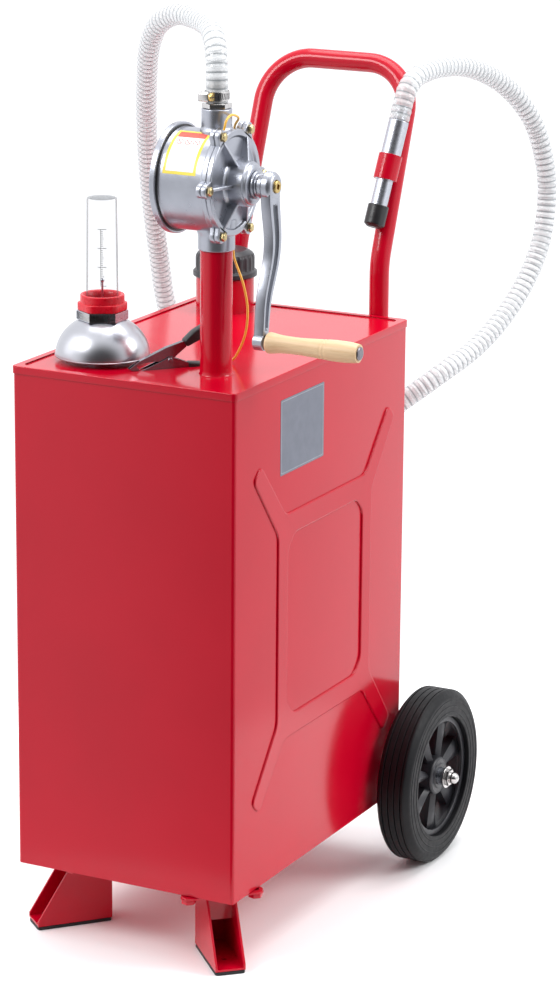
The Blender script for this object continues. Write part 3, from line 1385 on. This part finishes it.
def make_gauge_body():
    """The dome over the bung, the hex fitting with its stem and fork, and the red ring and tube on top."""
    seat = pan_z + gauge_seat_lift
    base = pan_z + dome_lift
    place = (gauge_x, gauge_y, 0)
    shank_way = gauge_shank_radius + touch_gap
    high = gauge_seat_lift - dome_lift
    outer = [(r, base + h) for r, h in dome_points(dome_radius, dome_rise, high, dome_bead, dome_steps)]
    inner = [(r, base + h) for r, h in dome_points(dome_radius - dome_wall, dome_rise - dome_wall,
                                                   high - dome_wall, dome_bead, dome_steps)]
    bead = dome_bead / 2
    profile = [(shank_way, seat)] + outer + [(dome_radius + bead / 2, base + bead), (dome_radius, base),
                                             (dome_radius - dome_wall, base)]
    profile += inner[::-1] + [(shank_way, seat - dome_wall)]
    turned("gauge_dome", profile, place, "cast_alloy", closed=True)
    rod_way = gauge_rod_radius + run_gap
    low = seat + touch_gap
    top = low + gauge_hex_height
    fitting = drum("gauge_fitting", gauge_hex_radius, gauge_hex_height, (gauge_x, gauge_y, (low + top) / 2),
                   "cast_alloy", steps=bolt_sides)
    shank = drum("gauge_shank", gauge_shank_radius, low + gauge_hex_height / 2 - pan_z,
                 (gauge_x, gauge_y, (low + gauge_hex_height / 2 + pan_z) / 2), None, steps=round_steps)
    join(fitting, shank)
    stem_top = pan_z + gauge_hex_height
    stem_low = pan_z - gauge_stem_length
    join(fitting, drum("gauge_stem", gauge_stem_radius, stem_top - stem_low,
                       (gauge_x, gauge_y, (stem_top + stem_low) / 2), None))
    cheek_x = float_eye_width / 2 + fork_gap + fork_sheet / 2
    cheek_top = stem_low + gauge_stem_radius
    cheek_low = float_pivot_z - float_eye_radius
    for sign in (-1, 1):
        join(fitting, box("fork_cheek_%d" % sign, (fork_sheet, gauge_stem_radius, cheek_top - cheek_low),
                          (gauge_x + sign * cheek_x, gauge_y, (cheek_top + cheek_low) / 2), None))
    join(fitting, drum("fork_pin", float_pin_radius, 2 * cheek_x, (gauge_x, gauge_y, float_pivot_z), None,
                       "X"))
    bore_low = stem_low - overrun
    cut(fitting, drum("rod_bore", rod_way, top + overrun - bore_low, (gauge_x, gauge_y,
                                                                      (top + overrun + bore_low) / 2),
                      None, steps=hole_steps))
    low = top + touch_gap
    nut_top = low + gauge_nut_height
    top = nut_top + gauge_ring_height
    nut = drum("gauge_ring", gauge_nut_radius, gauge_nut_height, (gauge_x, gauge_y, (low + nut_top) / 2),
               "red_plastic", steps=bolt_sides)
    join(nut, drum("gauge_ring_upper", gauge_ring_radius, top - low, (gauge_x, gauge_y, (low + top) / 2),
                   None,
                   steps=round_steps))
    cut(nut, drum("gauge_tube_way", gauge_tube_base_radius + touch_gap, gauge_ring_height + overrun,
                  (gauge_x, gauge_y, nut_top + (gauge_ring_height + overrun) / 2), None, steps=round_steps),
        drum("gauge_ring_bore", rod_way, tank_height, (gauge_x, gauge_y, nut_top), None, steps=hole_steps))
    low = nut_top + touch_gap
    top = pan_z + gauge_tube_top
    tube = [(0, top), (gauge_tube_top_radius - gauge_tube_wall, top), (gauge_tube_top_radius,
                                                                       top - gauge_tube_wall),
            (gauge_tube_base_radius, low), (gauge_tube_base_radius - gauge_tube_wall, low),
            (gauge_tube_top_radius - gauge_tube_wall, top - gauge_tube_wall), (0, top - gauge_tube_wall)]
    turned("gauge_tube", tube, place, "clear_plastic")


def make_float():
    """The rod that rises in the stem, and the float on its swinging arm."""
    rod_axis = add_empty("rod_axis", (gauge_x, gauge_y, pan_z + gauge_rod_top))
    rod = drum("gauge_rod", gauge_rod_radius, gauge_rod_length, (0, 0, -gauge_rod_length / 2),
               "bright_steel",
               steps=hole_steps, parent=rod_axis)
    work = bmesh.new()
    bmesh.ops.create_uvsphere(work, u_segments=hole_steps, v_segments=bolt_sides, radius=gauge_ball_radius)
    join(rod, add_object("gauge_ball", mesh_from(work, "gauge_ball"), None, parent=rod_axis))
    swing = add_empty("float_axis", (gauge_x, gauge_y, float_pivot_z), (-float_arm_drop, 0, 0))
    arm = drum("gauge_float", float_eye_radius, float_eye_width, (0, 0, 0), "black_plastic", "X",
               parent=swing)
    bar_start = float_pin_radius + float_arm_radius
    join(arm, drum("float_bar", float_arm_radius, float_arm_length - bar_start,
                   (0, (float_arm_length + bar_start) / 2, 0), None, "Y", parent=swing, steps=hole_steps))
    join(arm, drum("float", float_radius, float_length, (0, float_arm_length, 0), None, "X", parent=swing))
    cut(arm, drum("float_eye_bore", float_pin_radius + run_gap, 2 * float_eye_width, (0, 0, 0), None, "X",
                  parent=swing))


# Grounding clamp

def scaled(shares, start=(0, 0)):
    return [((x - start[0]) * pliers_scale, (z - start[1]) * pliers_scale) for x, z in shares]


def make_pliers_half(name, frame, start, shares, slot, width, grip_shares, tang_share, tang_turn):
    """One folded half of the clamp with its tang in a moulded grip."""
    upright = (math.radians(90), 0, 0)
    half = plate("clamp_%s_jaw" % name, scaled(shares, start), width, "bright_steel", (0, 0, 0), upright,
                 frame)
    cut(half, plate("clamp_%s_slot" % name, scaled(slot, start), width - 2 * pliers_sheet, None, (0, 0, 0),
                    upright, frame))
    (x, z), = scaled((tang_share,), start)
    turn = (0, -tang_turn, 0)
    middle = (x + pliers_tang_length / 4 * math.cos(tang_turn), 0,
              z + pliers_tang_length / 4 * math.sin(tang_turn))
    tang = box("clamp_%s_tang" % name, (1.5 * pliers_tang_length, width - 2 * touch_gap,
                                        pliers_tang_height), middle, None,
               parent=frame, turn=turn)
    join(half, tang)
    grip = plate("clamp_%s_grip" % name, scaled(grip_shares, start), pliers_grip_width, "black_plastic",
                 (0, 0, 0),
                 upright, frame)
    soften(grip, pliers_grip_bevel, 1)
    cut(grip, box("clamp_%s_pocket" % name, (1.5 * pliers_tang_length + 2 * touch_gap,
                                             width + 2 * touch_gap,
                                             pliers_tang_height + 2 * touch_gap), middle, None, parent=frame, turn=turn))
    cut(grip, plate("clamp_%s_clear" % name, scaled(shares, start), width + 2 * touch_gap, None,
                    (touch_gap * math.cos(tang_turn), 0, touch_gap * math.sin(tang_turn)), upright, frame))
    return half


def make_pliers():
    frame = add_empty("clamp_frame", (*pliers_tip, pan_z), (0, 0, pliers_turn))
    (pivot_x, pivot_z), = scaled((pliers_pivot_share,))
    pivot = add_empty("clamp_axis", (pivot_x, 0, pivot_z), parent=frame)
    inner_width = pliers_width - 2 * pliers_sheet - 2 * touch_gap
    lower = make_pliers_half("lower", frame, (0, 0), pliers_lower_shares, pliers_lower_slot_shares,
                             pliers_width,
                     pliers_lower_grip_shares, pliers_lower_tang_share, pliers_lower_tang_turn)
    upper = make_pliers_half("upper", pivot, pliers_pivot_share, pliers_upper_shares,
                             pliers_upper_slot_shares, inner_width,
                     pliers_upper_grip_shares, pliers_upper_tang_share, pliers_upper_tang_turn)
    head_y = (pliers_width + pliers_head_thickness) / 2 - touch_gap
    cut(upper, drum("clamp_eye", pliers_pin_radius + touch_gap, 2 * pliers_width, (0, 0, 0), None, "Y",
                    parent=pivot,
                    steps=hole_steps))
    join(lower, drum("clamp_rivet", pliers_pin_radius, 2 * head_y, (0, 0, 0), None, "Y", parent=pivot,
                     steps=hole_steps))
    for sign in (-1, 1):
        join(lower, drum("clamp_rivet_head_%d" % sign, pliers_head_radius, pliers_head_thickness,
                         (0, sign * head_y, 0), None, "Y", parent=pivot, steps=ear_steps))
    steps = round(spring_turns * coil_steps)
    coil = [(spring_leg, -spring_turns * spring_pitch / 2, -spring_radius)]
    for i in range(steps + 1):
        turn = -math.pi / 2 - 2 * math.pi * i / coil_steps
        coil.append((spring_radius * math.cos(turn), (i / coil_steps - spring_turns / 2) * spring_pitch,
                     spring_radius * math.sin(turn)))
    coil.append((spring_leg, spring_turns * spring_pitch / 2, spring_radius))
    tube_mesh("clamp_spring", [coil], spring_wire, "bright_steel", 1, pivot)
    print("least gap between the clamp spring's turns: %.2f mm" % ((spring_pitch - 2 * spring_wire) * 1000))


coil_steps = 10             # points in a turn of the clamp's spring


# Hose and wire

def make_hose():
    """A clear ribbed hose from the adapter, over the pump, round behind the tank and up to the nozzle."""
    path, length = smooth_path(hose_route, 2 * hose_rib_count)
    root_share = hose_root_radius / hose_outer_radius
    radii = [root_share if i % 2 == 0 else 1 for i in range(len(path))]
    hose = tube_mesh("hose", [path], hose_outer_radius, "clear_plastic", 2, radii=radii)
    bore, length = smooth_path(hose_route, hose_bore_points)
    first = bore[0] + (bore[0] - bore[1]).normalized() * overrun
    last = bore[-1] + (bore[-1] - bore[-2]).normalized() * overrun
    cut(hose, tube_mesh("hose_bore", [[first, *bore, last]], hose_bore_radius, None, 2))
    print("hose length: %.3f m" % length)


def make_ground_wire():
    """The clamp's wire, from a screw of the pump's cover down to the clamp's lower grip."""
    path, length = smooth_path(wire_route, wire_points)
    tube_mesh("ground_wire", [path], wire_radius, "wire_jacket", 1)
    print("ground wire length: %.3f m" % length)


wire_points = 30


# Assembly

outline_front = min(y - foot_width / 2 * abs(math.cos(math.radians(degrees))) for x, y,
                    degrees in foot_places.values())
tank_frame.location = (-(outline_left + outline_right) / 2, -(outline_front + outline_rear) / 2,
                       ground_clearance)
make_tank_shell()
make_tank_top()
make_filler_neck()
make_standpipe()
make_suction_tube()
feet = {side: make_foot(side) for side in foot_places}
make_foot_pads(feet)
make_handle_strap()
make_rear_bracket()
make_axle()
for wheel_side in ("left", "right"):
    make_wheel(wheel_side)
make_handle()
make_nozzle(nozzle_frame())
make_pump_body()
make_rear_cover()
make_front_cover()
make_cover_bolts()
crank_axis = add_empty("crank_axis", (crank_inner_x, pump_y, shaft_z))
make_shaft_parts(crank_axis)
make_crank(crank_axis)
make_adapter()
make_hose_clamp()
make_hose()
make_cap()
make_gauge_body()
make_float()
make_pliers()
make_ground_wire()
